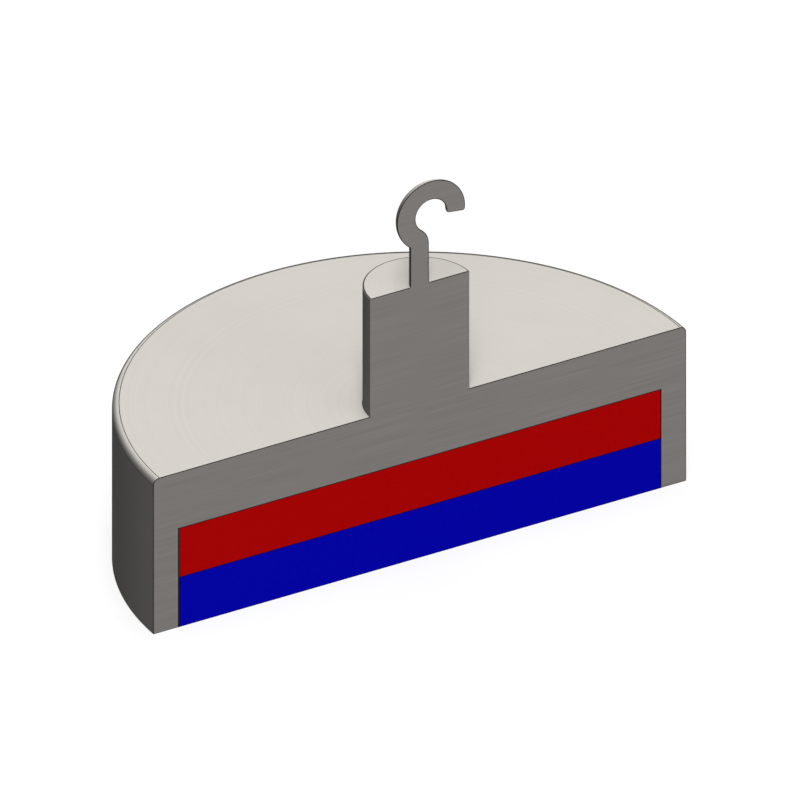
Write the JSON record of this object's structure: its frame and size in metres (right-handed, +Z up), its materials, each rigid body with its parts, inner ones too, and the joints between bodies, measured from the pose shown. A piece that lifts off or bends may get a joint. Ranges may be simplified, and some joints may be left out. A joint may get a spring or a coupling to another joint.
{
  "type": "pot magnet",
  "caption": "Sectioned round pot magnet: half of a steel pot with a tall neck, a small wire hook, and a disc magnet in a red and a blue layer.",
  "frame": {"origin": "the pot's axis on the magnetic face, in the plane of the saw cut", "axes": "+Z up the neck to the hook, away from the magnetic face; +X to the right along the saw cut, towards the hook's open side; +Y into the half that is kept"},
  "size_m": [0.086, 0.043, 0.0602],
  "materials": {
    "pot_steel": "turned mild steel, dull zinc plated, with a bare ground saw cut",
    "hook_steel": "drawn steel wire, dull zinc plated, with a bare ground saw cut",
    "north_red": "sintered ferrite, lacquered red for the north pole",
    "south_blue": "sintered ferrite, lacquered blue for the south pole"
  },
  "bodies": {
    "root": {"pot": "pot_steel", "hook": "hook_steel", "magnet_north": "north_red", "magnet_south": "south_blue"}
  },
  "joints": []
}
